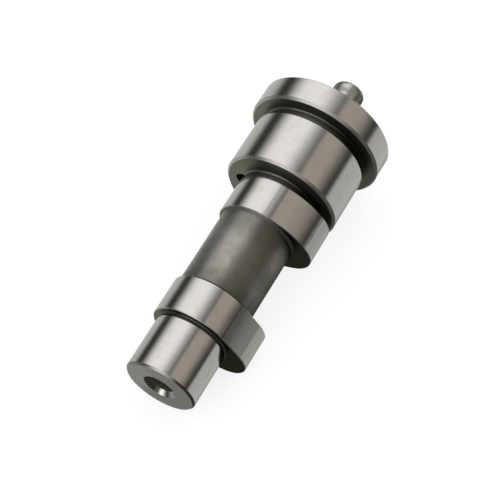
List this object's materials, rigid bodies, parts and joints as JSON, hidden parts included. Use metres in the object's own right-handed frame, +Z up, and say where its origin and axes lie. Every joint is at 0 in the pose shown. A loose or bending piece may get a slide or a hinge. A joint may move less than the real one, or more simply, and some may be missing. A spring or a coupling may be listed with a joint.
{
  "type": "camshaft",
  "caption": "Ground steel camshaft: small end journal, valve lobes set close in phase, large end journal, retaining plate groove, and a drive flange with a bolt hole and locating pin.",
  "frame": {"origin": "on the floor that the part lies on, below the middle of its box", "axes": "+Z up; +X along the shaft over the floor, from the small journal to the flange, with the shaft's own axis in the X-Z plane and climbing towards the flange; the lobes' noses lean to -Y"},
  "size_m": [0.0958, 0.0384, 0.039],
  "materials": {
    "shaft_steel": "ground and polished bearing and lobe surfaces, satin turned faces, dull heat-treated shaft between the lobes",
    "pin_steel": "ground, with a domed and polished end"
  },
  "bodies": {
    "root": {"camshaft": "shaft_steel", "locating_pin": "pin_steel"}
  },
  "joints": []
}
